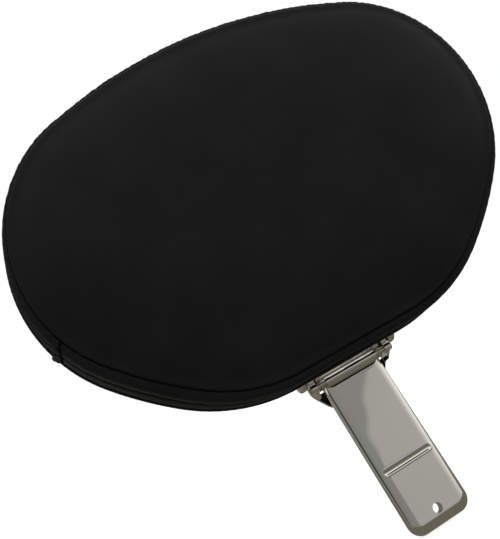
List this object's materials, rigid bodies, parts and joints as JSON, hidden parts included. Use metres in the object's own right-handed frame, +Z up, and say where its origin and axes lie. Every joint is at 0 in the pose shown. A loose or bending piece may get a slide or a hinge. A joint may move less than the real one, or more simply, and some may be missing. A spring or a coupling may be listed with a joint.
{
  "type": "motorcycle rider backrest",
  "caption": "Wide padded rider backrest, hinged to fold forward on a plated flat steel post with a locating groove and a retaining hole.",
  "frame": {"origin": "centre of the retaining hole near the post's lower end, at mid thickness of the bar", "axes": "+Z up with the pad upright, -Y the way the rider faces, X across the seat along the hinge pin"},
  "size_m": [0.3384, 0.073, 0.3466],
  "materials": {
    "cover_vinyl": "satin coated fabric",
    "piping_vinyl": "satin coated fabric",
    "rear_cover": "matt coated fabric",
    "foam": "open cell foam",
    "plywood": "plywood",
    "plated_post": "polished plating",
    "polished_bar": "polished plating",
    "zinc_steel": "zinc plated",
    "black_screws": "black oxide",
    "plain_plastic": "acetal"
  },
  "bodies": {
    "post_group": {"post": "plated_post", "hinge_yoke": "plated_post", "hinge_pin": "polished_bar", "pin_washers": "zinc_steel", "drag_washers": "plain_plastic", "disc_springs": "black_screws", "pin_nut": "zinc_steel", "stop_rod": "zinc_steel", "stop_sleeve": "polished_bar", "rod_clips": "zinc_steel"},
    "pad_group": {"front_panel": "cover_vinyl", "front_band": "cover_vinyl", "rear_band": "cover_vinyl", "rear_welt": "piping_vinyl", "back_cover": "rear_cover", "foam_core": "foam", "base_board": "plywood", "tee_nuts": "zinc_steel", "bracket_screws": "black_screws", "pad_bracket": "plated_post", "pivot_tube": "polished_bar"}
  },
  "joints": [
    {"name": "pad_fold", "type": "hinge", "parent": "post_group", "child": "pad_group", "pos_m": [0, 0.0243, 0.10523], "axis": [1, 0, 0], "range_deg": [0, 55]}
  ]
}
